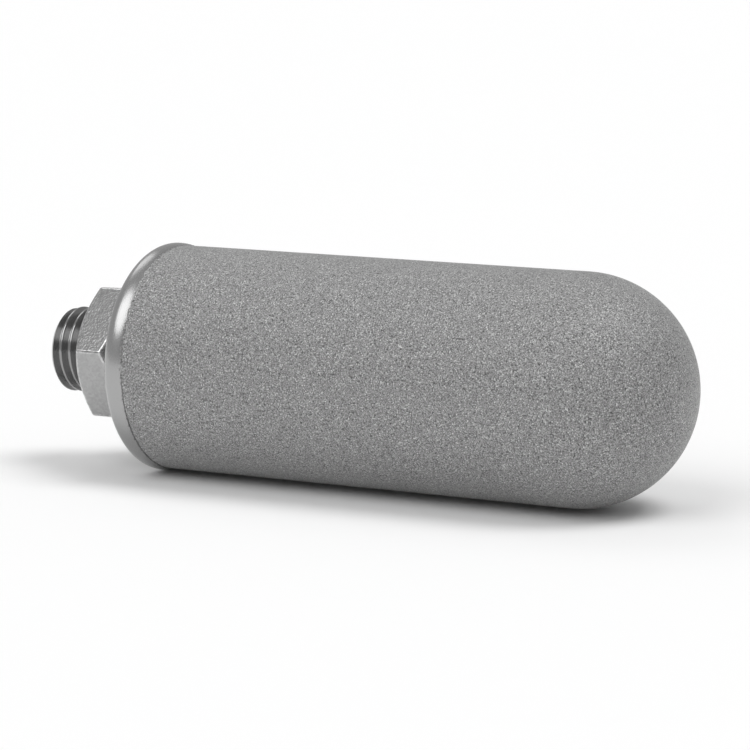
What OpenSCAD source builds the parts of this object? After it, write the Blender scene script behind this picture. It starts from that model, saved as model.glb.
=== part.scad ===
// Sintered filter element: a porous metal cup with a domed end, an end cap welded to its mouth, and a
// hexagon nipple that screws the element into its housing and carries the filtered fluid away.
// The axis lies along +X from the screw stud to the dome. The origin is on the axis, in the seat face of
// the hexagon that closes against the housing.

/* [Sintered cup] */
// Outside diameter of the porous cup
cup_d = 52; // [44:1:70]
// Length of the cup from its mouth to the top of the dome
cup_len = 129; // [80:1:200]
// Thickness of the porous wall
cup_wall = 3; // [2:0.25:5]

/* [End cap] */
// Thickness of the cap plate, from the mouth of the cup to the outer face
plate_t = 5.5; // [4:0.5:10]
// How far the rim of the plate stands proud of the cup
rim_proud = 0.5; // [0.1:0.1:1]
// Radius that rounds the outer edge of the rim
rim_round = 3; // [0.5:0.25:3.5]
// Length over which the rim falls back to the cup's diameter at the mouth
rim_taper = 2; // [0.5:0.25:3]
// Length of the register that centres the cap in the cup
register_len = 8; // [4:1:15]
// Thickness of the register's wall
register_wall = 3; // [2:0.5:5]
// Radial clearance of the register in the cup
register_gap = 0.1; // [0.05:0.05:0.3]
// Chamfer that leads the register into the cup
register_lead = 0.5; // [0.25:0.25:1.5]

/* [Hexagon nipple] */
// Width of the hexagon across its flats
hex_af = 30; // [27:1:36]
// Length of the hexagon between its two faces
hex_len = 10; // [6:0.5:20]
// Angle of the turned chamfer on the corners, from the end faces
hex_chamfer_angle = 30; // [15:1:45]
// How far inside the flats the turned chamfer starts on the end faces
hex_face_inset = 0.75; // [0.25:0.25:1.5]
// Angle of the front corner above the horizontal, seen along the axis
hex_clock = 7.5; // [0:0.5:59.5]
// Length of the round neck between the hexagon and the cap
neck_len = 4.5; // [2:0.5:12]
// How far inside the flats the neck lies
neck_inset = 2; // [1.5:0.25:3]
// Width of the shoulder with which the neck seats on the cap
shoulder_w = 2; // [1:0.25:3]
// How far the tail of the nipple reaches past the plate into the cup
tail_proud = 1; // [0.5:0.25:4]
// Radial clearance of the tail in the plate
tail_gap = 0.1; // [0.05:0.05:0.3]

/* [Screw stud and outlet] */
// Outside diameter of the stud's screw thread
stud_d = 20; // [18:1:24]
// Length of the stud from the seat face to its free end
stud_len = 10.5; // [6:0.5:30]
// Chamfer at the free end of the stud
stud_chamfer = 1; // [0.5:0.25:2]
// Diameter of the outlet bore
bore_d = 12; // [6:0.5:13]
// Chamfer at the mouth of the outlet bore
bore_chamfer = 0.5; // [0.25:0.25:1]

/* [Hidden] */
$fn = 144;
cup_r = cup_d / 2;
bore_r = bore_d / 2;
stud_r = stud_d / 2;

// The dome is a hemisphere, so the straight wall is what its radius leaves of the length
straight_len = cup_len - cup_r;

// Radii of the cap and the nipple, each taken from the piece that it seats in
rim_r = cup_r + rim_proud;
rim_round_r = min(rim_round, plate_t - 0.5);
rim_taper_len = min(rim_taper, plate_t - rim_round_r - 0.25);
register_r = cup_r - cup_wall - register_gap;
neck_r = hex_af / 2 - neck_inset;
tail_r = neck_r - shoulder_w;
hex_face_r = hex_af / 2 - hex_face_inset;
hex_corner_r = hex_af / 2 / cos(30);

// Places along the axis
plate_x = hex_len + neck_len;
mouth_x = plate_x + plate_t;
tail_x = mouth_x + tail_proud;

// How far a cutting shape runs past what it cuts
over = 1;

// Turns a half section, drawn as [radius, place along the axis], about the X axis
module turned() {
    rotate([0, 90, 0])
        rotate_extrude()
            children();
}

// Quarter of a disc, in the corner where radius and place along the axis grow
module quarter_disc(r) {
    intersection() {
        circle(r = r);
        square(r);
    }
}

// Half section of a cup without a hollow, its outline set inwards by the given amount
module cup_section(inset) {
    r = cup_r - inset;
    square([r, straight_len]);
    translate([0, straight_len])
        quarter_disc(r);
}

// Porous cup: a tube of bonded metal grains, open at the mouth and closed by its dome
module sintered_cup() {
    color([0.56, 0.56, 0.56])
        translate([mouth_x, 0, 0])
            turned()
                difference() {
                    cup_section(0);
                    cup_section(cup_wall);
                }
}

// Half section of the cap's plate, with its outer edge rounded and its rim tapered down to the cup
module plate_section() {
    flank = plate_t - rim_round_r;
    translate([0, -plate_t])
        square([rim_r - rim_round_r, plate_t]);
    polygon([
        [0, -flank],
        [rim_r, -flank],
        [rim_r, -rim_taper_len],
        [cup_r, 0],
        [0, 0],
    ]);
    translate([rim_r - rim_round_r, -flank])
        mirror([0, 1])
            quarter_disc(rim_round_r);
}

// Half section of the ring that enters the cup, with a chamfer to lead it in
module register_section() {
    polygon([
        [register_r - register_wall, 0],
        [register_r, 0],
        [register_r, register_len - register_lead],
        [register_r - register_lead, register_len],
        [register_r - register_wall, register_len],
    ]);
}

// End cap: a turned disc that closes the mouth, with a hole for the tail of the nipple
module end_cap() {
    color([0.78, 0.78, 0.78])
        translate([mouth_x, 0, 0])
            turned()
                difference() {
                    union() {
                        plate_section();
                        register_section();
                    }
                    translate([0, -plate_t - over])
                        square([tail_r + tail_gap, plate_t + 2 * over]);
                }
}

// Hexagon with one corner to the front, its corners turned off at both ends
module chamfered_hexagon() {
    cut_r = hex_corner_r + over;
    cut_x = (cut_r - hex_face_r) * tan(hex_chamfer_angle);
    intersection() {
        rotate([-hex_clock, 0, 0])
            rotate([0, 90, 0])
                rotate([0, 0, -90])
                    cylinder(r = hex_corner_r, h = hex_len, $fn = 6);
        turned()
            polygon([
                [0, 0],
                [hex_face_r, 0],
                [cut_r, cut_x],
                [cut_r, hex_len - cut_x],
                [hex_face_r, hex_len],
                [0, hex_len],
            ]);
    }
}

// Half section of the turned core: stud, then neck, then the tail that is welded into the cap
module core_section() {
    polygon([
        [0, -stud_len],
        [stud_r - stud_chamfer, -stud_len],
        [stud_r, stud_chamfer - stud_len],
        [stud_r, hex_len / 2],
        [neck_r, hex_len / 2],
        [neck_r, plate_x],
        [tail_r, plate_x],
        [tail_r, tail_x],
        [0, tail_x],
    ]);
}

// Half section of the outlet bore, widened by a chamfer at its mouth
module bore_section() {
    polygon([
        [0, -stud_len - over],
        [bore_r + bore_chamfer, -stud_len - over],
        [bore_r + bore_chamfer, -stud_len],
        [bore_r, bore_chamfer - stud_len],
        [bore_r, tail_x + over],
        [0, tail_x + over],
    ]);
}

// Hexagon nipple: screw stud, spanner hexagon, neck and tail in one piece, drilled right through
module hex_nipple() {
    color([0.66, 0.66, 0.66])
        difference() {
            union() {
                chamfered_hexagon();
                turned()
                    core_section();
            }
            turned()
                bore_section();
        }
}

sintered_cup();
end_cap();
hex_nipple();
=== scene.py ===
import math

import bpy
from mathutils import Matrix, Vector


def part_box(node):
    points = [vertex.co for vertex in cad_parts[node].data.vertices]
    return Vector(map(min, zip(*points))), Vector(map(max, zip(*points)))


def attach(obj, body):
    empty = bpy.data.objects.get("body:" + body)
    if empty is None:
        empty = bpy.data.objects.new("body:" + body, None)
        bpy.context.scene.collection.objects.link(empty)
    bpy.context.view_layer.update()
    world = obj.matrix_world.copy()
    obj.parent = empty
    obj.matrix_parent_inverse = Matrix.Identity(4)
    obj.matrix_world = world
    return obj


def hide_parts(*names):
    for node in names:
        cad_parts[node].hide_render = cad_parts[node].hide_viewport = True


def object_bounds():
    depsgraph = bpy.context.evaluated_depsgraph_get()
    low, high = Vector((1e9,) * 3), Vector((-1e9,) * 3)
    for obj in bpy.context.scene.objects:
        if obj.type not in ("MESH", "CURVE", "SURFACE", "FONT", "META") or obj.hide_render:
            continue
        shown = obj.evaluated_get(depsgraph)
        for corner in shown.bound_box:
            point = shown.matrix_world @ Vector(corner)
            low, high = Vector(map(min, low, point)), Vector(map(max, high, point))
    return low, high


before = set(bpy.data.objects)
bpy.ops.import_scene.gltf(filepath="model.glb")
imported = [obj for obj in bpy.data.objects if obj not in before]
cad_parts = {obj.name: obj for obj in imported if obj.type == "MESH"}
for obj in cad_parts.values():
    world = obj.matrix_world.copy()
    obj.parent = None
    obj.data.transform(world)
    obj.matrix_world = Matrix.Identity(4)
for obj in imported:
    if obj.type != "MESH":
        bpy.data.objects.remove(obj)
cad_low, cad_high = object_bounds()


# Sintered cup
# A thick porous wall of steel powder, pressed in a mould and sintered in one piece with its domed end.
# It is left as it leaves the furnace: a matte skin of bonded grains with fine pores between them.
cup_low, cup_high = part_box("sintered_cup")
cup_r = cup_high.y
cup_wall = 0.003
mouth_x = cup_low.x
dome_x = cup_high.x - cup_r
round_steps = 192
dome_steps = 48
weld_distance = 1e-6


def take(piece):
    """Makes a piece the only one selected, and the one that the next tools work on."""
    bpy.ops.object.select_all(action="DESELECT")
    piece.select_set(True)
    bpy.context.view_layer.objects.active = piece


def turn(name, profile):
    """Turns a piece about the X axis: a ring is extruded along the profile's points of place and radius."""
    x, radius = profile[0]
    bpy.ops.object.select_all(action="DESELECT")
    bpy.ops.mesh.primitive_circle_add(
        vertices=round_steps, radius=radius, location=(x, 0, 0), rotation=(0, math.pi / 2, 0)
    )
    piece = bpy.context.object
    piece.name = name
    piece.data.name = name
    bpy.ops.object.transform_apply(location=True, rotation=True, scale=True)
    bpy.ops.object.mode_set(mode="EDIT")
    bpy.ops.mesh.select_all(action="SELECT")
    for next_x, next_radius in profile[1:]:
        bpy.ops.mesh.extrude_region_move(TRANSFORM_OT_translate={"value": (next_x - x, 0, 0)})
        if next_radius > 0:
            growth = next_radius / radius
            bpy.ops.transform.resize(value=(1, growth, growth), center_override=(next_x, 0, 0))
        else:
            bpy.ops.mesh.merge(type="CENTER")
        x, radius = next_x, next_radius
    bpy.ops.mesh.select_all(action="SELECT")
    bpy.ops.mesh.remove_doubles(threshold=weld_distance)
    bpy.ops.mesh.normals_make_consistent(inside=False)
    bpy.ops.object.mode_set(mode="OBJECT")
    return piece


def arc(centre_x, centre_r, radius, start, end, steps):
    """Points of place and radius on an arc, its angles in degrees from straight outwards towards the dome."""
    points = []
    for step in range(steps + 1):
        angle = math.radians(start + (end - start) * step / steps)
        points.append((centre_x + radius * math.sin(angle), centre_r + radius * math.cos(angle)))
    return points


def smooth(piece, degrees):
    """Shades a piece smooth, apart from edges sharper than the given angle."""
    take(piece)
    bpy.ops.object.shade_smooth_by_angle(angle=math.radians(degrees))


dome_points = arc(dome_x, 0, cup_r, 0, 90, dome_steps)
dome_points[-1] = (dome_x + cup_r, 0)
cup = turn("porous_cup", [(mouth_x, cup_r)] + dome_points)
wall = cup.modifiers.new("wall", "SOLIDIFY")
wall.thickness = cup_wall
wall.offset = -1
bpy.ops.object.modifier_apply(modifier=wall.name)

# Along its lower front the joint with the cap is worn open: the mouth is rounded, and the cap falls away
mouth_ease = 0.0002
mouth_ease_steps = 3
joint_fall = Vector((0, 0.00017, 0.00036))


def pick_corners(piece, chosen):
    """Opens a piece for editing, with only the corners selected whose place passes the test."""
    take(piece)
    bpy.ops.object.mode_set(mode="EDIT")
    bpy.ops.mesh.select_all(action="DESELECT")
    bpy.ops.object.mode_set(mode="OBJECT")
    for corner in piece.data.vertices:
        corner.select = chosen(corner.co)
    bpy.ops.object.mode_set(mode="EDIT")


def on_worn_joint(place):
    """Tells whether a place lies on the outer edge of the mouth, along the lower front that is worn open."""
    outside = math.hypot(place.y, place.z) > cup_r - cup_wall / 2
    return abs(place.x - mouth_x) < weld_distance and outside and place.dot(joint_fall) < 0


pick_corners(cup, on_worn_joint)
bpy.ops.mesh.bevel(offset=mouth_ease, segments=mouth_ease_steps)
bpy.ops.object.mode_set(mode="OBJECT")
smooth(cup, degrees=40)

# Each grain has its own grey, with few bright ones, and painted shade darkens it towards the pores round it
grain_size = 0.00029
grain_depth = grain_size / 2
grain_relief = 0.6
grain_dark = 0.5
grain_bright = 1.0
bright_rarity = 6
pore_shade = 0.08
clump_size = 0.0012
skin_roughness = 0.6


def start_material(name):
    """Makes a material with nodes, and gives its node tree and its shader."""
    material = bpy.data.materials.new(name)
    material.use_nodes = True
    return material, material.node_tree, material.node_tree.nodes["Principled BSDF"]


def add_node(tree, kind, **values):
    """Adds a node and sets its named inputs or properties."""
    node = tree.nodes.new(kind)
    for key, value in values.items():
        if key in node.inputs:
            node.inputs[key].default_value = value
        else:
            setattr(node, key, value)
    return node


def feed(tree, socket, term):
    """Feeds an input with the value of another socket, or with a plain number."""
    if isinstance(term, bpy.types.NodeSocket):
        tree.links.new(term, socket)
    else:
        socket.default_value = term


def work_out(tree, operation, *terms):
    """Adds a sum of the given kind on sockets and plain numbers, and gives the socket of its result."""
    node = add_node(tree, "ShaderNodeMath", operation=operation)
    for socket, term in zip(node.inputs, terms):
        feed(tree, socket, term)
    return node.outputs["Value"]


def stretch(tree, value, low, high, start=0.0, end=1.0):
    """Stretches what lies between start and end to lie between low and high, and gives its socket."""
    node = add_node(tree, "ShaderNodeMapRange")
    node.inputs["From Min"].default_value = start
    node.inputs["From Max"].default_value = end
    node.inputs["To Min"].default_value = low
    node.inputs["To Max"].default_value = high
    tree.links.new(value, node.inputs["Value"])
    return node.outputs["Result"]


def pattern(tree, kind, size, **values):
    """Adds a pattern of the given size, laid on the piece's own coordinates."""
    place = add_node(tree, "ShaderNodeTexCoord")
    node = add_node(tree, kind, Scale=1 / size, **values)
    tree.links.new(place.outputs["Object"], node.inputs["Vector"])
    return node


def own_chance(tree, cells):
    """Gives the socket of the random number that each cell of a pattern has to itself."""
    chance = add_node(tree, "ShaderNodeSeparateColor")
    tree.links.new(cells.outputs["Color"], chance.inputs["Color"])
    return chance.outputs["Red"]


def raise_relief(tree, height, depth, strength, under=None):
    """Raises a relief, over another one if that is given, and gives the socket of its normals."""
    node = add_node(tree, "ShaderNodeBump", Distance=depth)
    feed(tree, node.inputs["Strength"], strength)
    tree.links.new(height, node.inputs["Height"])
    if under is not None:
        tree.links.new(under, node.inputs["Normal"])
    return node.outputs["Normal"]


def bonded_grains(tree):
    """Adds the bonded grains to a material, and gives the sockets of their grey, with painted shade darkening
    each grain towards its edge, and of their height.
    """
    grains = pattern(tree, "ShaderNodeTexVoronoi", grain_size)
    clumps = pattern(tree, "ShaderNodeTexNoise", clump_size, Detail=2.0)
    few_bright = work_out(tree, "POWER", own_chance(tree, grains), bright_rarity)
    tone = stretch(tree, few_bright, grain_dark, grain_bright)
    # Painted shade: the grey falls towards each grain's edge, where shade lies in the gaps between grains
    painted_pore_shade = stretch(tree, grains.outputs["Distance"], 1.0, pore_shade)
    grey = work_out(tree, "MULTIPLY", tone, painted_pore_shade)
    height = work_out(tree, "MULTIPLY_ADD", grains.outputs["Distance"], -1.0, clumps.outputs["Fac"])
    return grey, height


skin, tree, shader = start_material("sintered_skin")
grain_grey_and_pore_shade, grain_height = bonded_grains(tree)
tree.links.new(grain_grey_and_pore_shade, shader.inputs["Base Color"])
tree.links.new(raise_relief(tree, grain_height, grain_depth, grain_relief), shader.inputs["Normal"])
shader.inputs["Metallic"].default_value = 0.35
shader.inputs["Roughness"].default_value = skin_roughness
shader.inputs["Sheen Weight"].default_value = 0.25
shader.inputs["Sheen Roughness"].default_value = 0.4
cup.data.materials.append(skin)
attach(cup, "root")
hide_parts("sintered_cup")


# End cap
# A disc turned from steel bar, with a rounded rim and a ring that centres it in the mouth of the cup.
# It is welded on, and the grains of the cup lap raggedly over the edge of its rim.
cap_low, cap_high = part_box("end_cap")
plate_x = cap_low.x
rim_r = cap_high.y
rim_round = 0.003
rim_steps = 20
rim_peak_x = plate_x + rim_round
rim_fall = rim_r - cup_r
hole_r = 0.0111
register_r = 0.0229
register_inner_r = 0.0199
register_lead = 0.0005
register_x = cap_high.x

# From its widest place the rim falls to the cup's radius in one flat arc
crown_x = mouth_x - rim_peak_x
crown_round = (crown_x ** 2 + rim_fall ** 2) / (2 * rim_fall)
crown_turn = math.degrees(math.asin(crown_x / crown_round))
crown_steps = 10
cap = turn(
    "turned_cap",
    [(plate_x, hole_r)]
    + arc(rim_peak_x, rim_r - rim_round, rim_round, -90, 0, rim_steps)
    + arc(rim_peak_x, rim_r - crown_round, crown_round, 0, crown_turn, crown_steps)
    + [
        (mouth_x, register_r),
        (register_x - register_lead, register_r),
        (register_x, register_r - register_lead),
        (register_x, register_inner_r),
        (mouth_x, register_inner_r),
        (mouth_x, hole_r),
        (plate_x, hole_r),
    ],
)
pick_corners(cap, on_worn_joint)
bpy.ops.transform.translate(value=joint_fall)
bpy.ops.object.mode_set(mode="OBJECT")
smooth(cap, degrees=30)

# The lap of grains runs along the mouth, its edge as ragged as its reach
lap_x = mouth_x - 0.00005
lap_reach = 0.0016
lap_fade = 0.0004
ragged_size = 0.0009
satin_grey = 0.40
satin_gloss = (0.2, 0.3)
turning_feed = 0.0002
turning_depth = 0.00001
haze_size = 0.004


def from_axis(tree):
    """Gives the sockets of the place along the axis and of the distance from it."""
    place = add_node(tree, "ShaderNodeTexCoord")
    axes = add_node(tree, "ShaderNodeSeparateXYZ")
    tree.links.new(place.outputs["Object"], axes.inputs["Vector"])
    across = add_node(tree, "ShaderNodeVectorMath", operation="MULTIPLY")
    tree.links.new(place.outputs["Object"], across.inputs[0])
    across.inputs[1].default_value = (0, 1, 1)
    radius = add_node(tree, "ShaderNodeVectorMath", operation="LENGTH")
    tree.links.new(across.outputs["Vector"], radius.inputs[0])
    return axes.outputs["X"], radius.outputs["Value"]


def turning_marks(tree, along, radius):
    """Adds the fine rings that a lathe tool leaves, and gives the socket of their height."""
    marks = add_node(tree, "ShaderNodeTexNoise", noise_dimensions="1D", Scale=1 / turning_feed, Detail=2.0)
    tree.links.new(work_out(tree, "SUBTRACT", radius, along), marks.inputs["W"])
    return marks.outputs["Fac"]


def hazy_gloss(tree, low, high):
    """Adds a roughness that drifts softly between two values, and gives its socket."""
    haze = pattern(tree, "ShaderNodeTexNoise", haze_size, Detail=4.0)
    return stretch(tree, haze.outputs["Fac"], low, high)


def blend(tree, share, first, second):
    """Goes from a first value to a second one by a share, and gives the socket of the result."""
    node = add_node(tree, "ShaderNodeMix", data_type="FLOAT")
    for key, term in (("Factor", share), ("A", first), ("B", second)):
        feed(tree, node.inputs[key], term)
    return node.outputs["Result"]


satin, tree, shader = start_material("satin_turned_steel")
along, radius = from_axis(tree)
ragged = pattern(tree, "ShaderNodeTexNoise", ragged_size, Detail=3.0)
lap_edge = work_out(tree, "MULTIPLY_ADD", ragged.outputs["Fac"], lap_reach, along)
lap_start = lap_x + (lap_reach - lap_fade) / 2
lap = stretch(tree, lap_edge, 0.0, 1.0, lap_start, lap_start + lap_fade)
# The lapped grains carry the same painted shade towards their edges
grain_grey_and_pore_shade, grain_height = bonded_grains(tree)
lap_height = work_out(tree, "MULTIPLY", lap, grain_height)
lapped = raise_relief(tree, lap_height, grain_depth, grain_relief)
turned = raise_relief(tree, turning_marks(tree, along, radius), turning_depth, 1.0, under=lapped)
tree.links.new(blend(tree, lap, satin_grey, grain_grey_and_pore_shade), shader.inputs["Base Color"])
tree.links.new(blend(tree, lap, hazy_gloss(tree, *satin_gloss), skin_roughness), shader.inputs["Roughness"])
tree.links.new(turned, shader.inputs["Normal"])
shader.inputs["Metallic"].default_value = 1.0
cap.data.materials.append(satin)
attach(cap, "root")
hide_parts("end_cap")


# Hexagon nipple
# A screw stud, spanner hexagon, neck and tail turned from one steel bar and drilled through.
# The flats are milled last, which leaves the turned chamfer on the corners. Its tail is welded into the cap.
nipple_low, nipple_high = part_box("hex_nipple")
stud_x = nipple_low.x
tail_x = nipple_high.x
hex_af = 0.030
hex_x = 0.010
hex_face_r = 0.01425
hex_blank_r = 0.0178
hex_chamfer = math.radians(30)
blank_chamfer_x = (hex_blank_r - hex_face_r) * math.tan(hex_chamfer)
neck_r = 0.013
tail_r = 0.011


def close_ends(piece):
    """Fills the open ends of a turned piece."""
    take(piece)
    bpy.ops.object.mode_set(mode="EDIT")
    bpy.ops.mesh.select_all(action="SELECT")
    bpy.ops.mesh.fill_holes(sides=0)
    bpy.ops.mesh.select_all(action="SELECT")
    bpy.ops.mesh.normals_make_consistent(inside=False)
    bpy.ops.object.mode_set(mode="OBJECT")


def cut_with(piece, tool, operation):
    """Joins, trims or drills a piece with a tool shape, and takes the tool away."""
    take(piece)
    cut = piece.modifiers.new("cut", "BOOLEAN")
    cut.operation = operation
    cut.object = tool
    cut.solver = "EXACT"
    bpy.ops.object.modifier_apply(modifier=cut.name)
    bpy.data.objects.remove(tool)


nipple = turn(
    "threaded_nipple",
    [
        (0, hex_face_r),
        (blank_chamfer_x, hex_blank_r),
        (hex_x - blank_chamfer_x, hex_blank_r),
        (hex_x, hex_face_r),
        (hex_x, neck_r),
        (plate_x, neck_r),
        (plate_x, tail_r),
        (tail_x, tail_r),
    ],
)
close_ends(nipple)

# The flats are finely blasted, while the thread is darker and, like the other round faces, left as turned
flat_dark = 0.36
flat_bright = 0.42
blast_size = 0.0005
blast_depth = 0.000017
thread_grey = 0.31
thread_fade = 0.0001
machined_gloss = (0.12, 0.2)
machined, tree, shader = start_material("machined_steel")
along, radius = from_axis(tree)
on_thread = stretch(tree, along, 0.0, 1.0, thread_fade, -thread_fade)
on_flats = stretch(tree, radius, 0.0, 1.0, hex_face_r, hex_af / 2)
on_turned = stretch(tree, radius, 1.0, 0.0, hex_face_r, hex_af / 2)
blast = pattern(tree, "ShaderNodeTexVoronoi", blast_size)
flat_grey = stretch(tree, own_chance(tree, blast), flat_dark, flat_bright)
dents = raise_relief(tree, blast.outputs["Distance"], blast_depth, on_flats)
turned = raise_relief(tree, turning_marks(tree, along, radius), turning_depth, on_turned, under=dents)
tree.links.new(blend(tree, on_thread, flat_grey, thread_grey), shader.inputs["Base Color"])
tree.links.new(hazy_gloss(tree, *machined_gloss), shader.inputs["Roughness"])
tree.links.new(turned, shader.inputs["Normal"])
shader.inputs["Metallic"].default_value = 1.0
nipple.data.materials.append(machined)

# Handling has rubbed the edges of the hexagon bright in patches
wear_size = 0.0007
wear_start = 0.35
wear_full = 0.6
worn_bright = 0.62
worn, tree, shader = start_material("worn_edge")
wear = pattern(tree, "ShaderNodeTexNoise", wear_size, Detail=2.0)
worn_grey = stretch(tree, wear.outputs["Fac"], flat_dark, worn_bright, wear_start, wear_full)
tree.links.new(worn_grey, shader.inputs["Base Color"])
shader.inputs["Metallic"].default_value = 1.0
shader.inputs["Roughness"].default_value = 0.12
nipple.data.materials.append(worn)

# The six flats are cut from the round blank, one corner standing to the front, and their edges broken
hex_clock = 7.5
front_corner = 180 - hex_clock
edge_break = 0.0005
edge_steps = 3
sharp_edge = math.radians(35)
take(nipple)
bpy.ops.object.mode_set(mode="EDIT")
for flat in range(6):
    angle = math.radians(front_corner + 30 + 60 * flat)
    outwards = (0, math.cos(angle), math.sin(angle))
    middle = [share * hex_af / 2 for share in outwards]
    bpy.ops.mesh.select_all(action="SELECT")
    bpy.ops.mesh.bisect(
        plane_co=middle, plane_no=outwards, use_fill=True, clear_outer=True, threshold=weld_distance
    )
bpy.ops.object.mode_set(mode="OBJECT")
ease = nipple.modifiers.new("edge_break", "BEVEL")
ease.width = edge_break
ease.segments = edge_steps
ease.limit_method = "ANGLE"
ease.angle_limit = sharp_edge
ease.material = list(nipple.data.materials).index(worn)
bpy.ops.object.modifier_apply(modifier=ease.name)

# The thread is one pitch of its profile wound along the stud, then cut to length and chamfered
stud_r = 0.010
stud_chamfer = 0.001
stud_root_x = hex_x / 3
thread_pitch = 0.0025
thread_depth = 0.00145
thread_turns = 8
thread_steps = 96
thread_start = stud_x - 0.00257
crest_break = 0.00016
crest_drop = crest_break / 4
crest = thread_pitch / 5 - 2 * crest_break
root = thread_pitch / 6
flank = (thread_pitch - crest - root) / 2 - crest_break
bpy.ops.object.select_all(action="DESELECT")
bpy.ops.mesh.primitive_plane_add(size=thread_pitch)
stud = bpy.context.object
stud.name = "stud"
bpy.ops.object.mode_set(mode="EDIT")
bpy.ops.mesh.merge(type="CENTER")
bpy.ops.transform.translate(value=(thread_start, 0, stud_r))
for ahead, outwards in (
    (crest, 0),
    (crest_break, -crest_drop),
    (flank, crest_drop - thread_depth),
    (root, 0),
    (flank, thread_depth - crest_drop),
    (crest_break, crest_drop),
):
    bpy.ops.mesh.extrude_region_move(TRANSFORM_OT_translate={"value": (ahead, 0, outwards)})
bpy.ops.object.mode_set(mode="OBJECT")
bpy.ops.object.transform_apply(location=True, rotation=True, scale=True)
wind = stud.modifiers.new("wind", "SCREW")
wind.axis = "X"
wind.screw_offset = thread_pitch
wind.iterations = thread_turns
wind.steps = thread_steps
wind.render_steps = thread_steps
wind.use_merge_vertices = True
wind.merge_threshold = weld_distance
bpy.ops.object.modifier_apply(modifier=wind.name)
bpy.ops.object.mode_set(mode="EDIT")
for cut_x, side in ((stud_x, -1), (stud_root_x, 1)):
    bpy.ops.mesh.select_all(action="SELECT")
    bpy.ops.mesh.bisect(
        plane_co=(cut_x, 0, 0), plane_no=(side, 0, 0), use_fill=True, clear_outer=True,
        threshold=weld_distance,
    )
bpy.ops.mesh.select_all(action="SELECT")
bpy.ops.mesh.remove_doubles(threshold=weld_distance)
bpy.ops.mesh.normals_make_consistent(inside=False)
bpy.ops.object.mode_set(mode="OBJECT")

# The tools for the end chamfer and the bore run a little past what they cut
clear = 0.0005
bore_r = 0.006
bore_chamfer = 0.0005
end_cone = turn(
    "end_cone",
    [
        (stud_x - clear, stud_r - stud_chamfer - clear),
        (stud_x + stud_chamfer + clear, stud_r + clear),
        (hex_x, stud_r + clear),
    ],
)
close_ends(end_cone)
cut_with(stud, end_cone, "INTERSECT")
cut_with(nipple, stud, "UNION")
drill = turn(
    "drill",
    [
        (stud_x - clear, bore_r + bore_chamfer + clear),
        (stud_x + bore_chamfer, bore_r),
        (tail_x + clear, bore_r),
    ],
)
close_ends(drill)
cut_with(nipple, drill, "DIFFERENCE")
smooth(nipple, degrees=25)
even = nipple.modifiers.new("even_shading", "WEIGHTED_NORMAL")
even.keep_sharp = True
bpy.ops.object.modifier_apply(modifier=even.name)

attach(nipple, "root")
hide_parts("hex_nipple")


# Studio
# The element lies on a pale floor under three broad soft lights, in a room that is brighter towards
# the stud's end. The camera looks along the element from its domed end.
floor_size = 16
floor_grey = 0.95
bpy.ops.object.select_all(action="DESELECT")
bpy.ops.mesh.primitive_plane_add(size=floor_size, location=(0, 0, cad_low.z))
floor = bpy.context.object
floor.name = "pale_floor"
pale, tree, shader = start_material("pale_floor")
shader.inputs["Base Color"].default_value = (floor_grey, floor_grey, floor_grey, 1)
shader.inputs["Roughness"].default_value = 0.9
shader.inputs["Specular IOR Level"].default_value = 0.0
floor.data.materials.append(pale)

bright_side = Vector((-1, 0, 0))
room_low = 0.33
room_high = 0.57
world = bpy.data.worlds.new("room")
bpy.context.scene.world = world
world.use_nodes = True
tree = world.node_tree
room = tree.nodes["Background"]
room.inputs["Color"].default_value = (1, 1, 1, 1)
sight = add_node(tree, "ShaderNodeTexCoord")
facing = add_node(tree, "ShaderNodeVectorMath", operation="DOT_PRODUCT")
tree.links.new(sight.outputs["Generated"], facing.inputs[0])
facing.inputs[1].default_value = bright_side
glow = stretch(tree, facing.outputs["Value"], room_low, room_high, -1.0, 1.0)
tree.links.new(glow, room.inputs["Strength"])


def soft_light(name, towards, spread, strength):
    """Adds a far soft light, with the direction it stands in and how wide it looks in degrees."""
    bpy.ops.object.select_all(action="DESELECT")
    bpy.ops.object.light_add(type="SUN")
    light = bpy.context.object
    light.name = name
    light.rotation_euler = Vector(towards).to_track_quat("Z", "Y").to_euler()
    light.data.angle = math.radians(spread)
    light.data.energy = strength


soft_light("key_light", towards=(-0.22, -0.645, 0.73), spread=44, strength=0.87)
soft_light("side_light", towards=(-0.54, 0.34, 0.77), spread=27, strength=0.2)
soft_light("top_light", towards=(0.40, 0.10, 0.91), spread=30, strength=1.2)

view_azimuth = math.radians(29.226)
view_elevation = math.radians(8.552)
view_aim = Vector((0.05942, 0.02134, -0.004145))
view_distance = 0.82099
view_sensor = 36
view_lens = 169.378
view_back = Vector((
    math.sin(view_azimuth) * math.cos(view_elevation),
    -math.cos(view_azimuth) * math.cos(view_elevation),
    math.sin(view_elevation),
))
bpy.ops.object.select_all(action="DESELECT")
bpy.ops.object.camera_add(location=view_aim + view_back * view_distance)
camera = bpy.context.object
camera.rotation_euler = view_back.to_track_quat("Z", "Y").to_euler()
camera.data.sensor_width = view_sensor
camera.data.lens = view_lens
bpy.context.scene.camera = camera
bpy.context.scene.view_settings.view_transform = "Standard"
